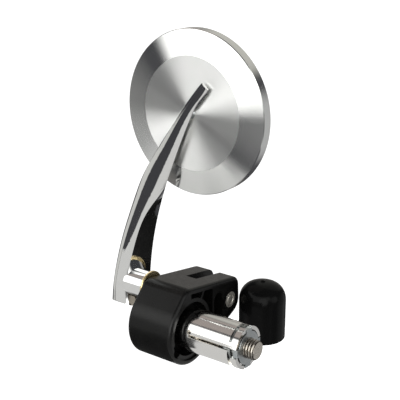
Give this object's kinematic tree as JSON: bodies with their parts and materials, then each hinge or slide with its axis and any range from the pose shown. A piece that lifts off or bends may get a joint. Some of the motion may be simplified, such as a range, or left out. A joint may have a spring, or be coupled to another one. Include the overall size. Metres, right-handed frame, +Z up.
{
  "type": "motorcycle bar end mirror",
  "caption": "Round bar end mirror on a curved chrome stem that folds on a black clamp body, with a slit expander sleeve that grips inside a handlebar's end.",
  "frame": {"origin": "on the bar's axis, at the clamp body's inboard face", "axes": "+X inboard along the bar, +Z up, +Y to the rear, the way the glass looks; for the right-hand bar end"},
  "size_m": [0.0704, 0.0633, 0.1342],
  "materials": {
    "black_coat": "satin",
    "chrome": "polished",
    "turned_aluminium": "fine turned",
    "bright_steel": "bright plated",
    "zinc_plate": "satin zinc plate",
    "yellow_plate": "satin",
    "black_steel": "satin",
    "mirror": "polished",
    "foam": "matte",
    "nylon": "matte",
    "black_vinyl": "glossy"
  },
  "bodies": {
    "clamp": {"clamp_body": "black_coat", "clevis_screw": "bright_steel", "clevis_barrel_nut": "bright_steel", "expander_sleeve": "bright_steel", "draw_bolt_washer": "zinc_plate", "pivot_bolt": "black_steel", "pivot_spring_washer": "zinc_plate", "pivot_flat_washer": "zinc_plate", "pivot_friction_washer": "yellow_plate", "vinyl_cap": "black_vinyl"},
    "draw_bolt": {"draw_bolt": "zinc_plate"},
    "cone_nut": {"cone_nut": "zinc_plate"},
    "stem": {"stem": "chrome", "ball_stud": "zinc_plate"},
    "ball_liner": {"ball_liner": "nylon"},
    "head": {"mirror_housing": "turned_aluminium", "ball_retainer": "zinc_plate", "retainer_screws": "zinc_plate", "adhesive_pad": "foam", "mirror_glass": "mirror"}
  },
  "joints": [
    {"name": "stem_fold", "type": "hinge", "parent": "clamp", "child": "stem", "pos_m": [-0.023, 0.001, 0.0126], "axis": [1, 0, 0], "range_deg": [-70, 180]},
    {"name": "head_rock", "type": "hinge", "parent": "stem", "child": "ball_liner", "pos_m": [-0.00654, 0.00944, 0.0865], "axis": [0.5605, 0, 0.8281], "range_deg": [-7, 7]},
    {"name": "head_nod", "type": "hinge", "parent": "ball_liner", "child": "head", "pos_m": [-0.00654, 0.00944, 0.0865], "axis": [0.8281, 0, -0.5605], "range_deg": [-2, 2]},
    {"name": "draw_bolt_turn", "type": "hinge", "parent": "clamp", "child": "draw_bolt", "pos_m": [0, 0, 0], "axis": [1, 0, 0], "range_deg": [0, 400]},
    {"name": "cone_nut_draw", "type": "slide", "parent": "clamp", "child": "cone_nut", "axis": [-1, 0, 0], "range_m": [0, 0.0014]}
  ],
  "couplings": [
    {"joint": "cone_nut_draw", "follows": "draw_bolt_turn", "m_per_rad": 0.00019894}
  ]
}
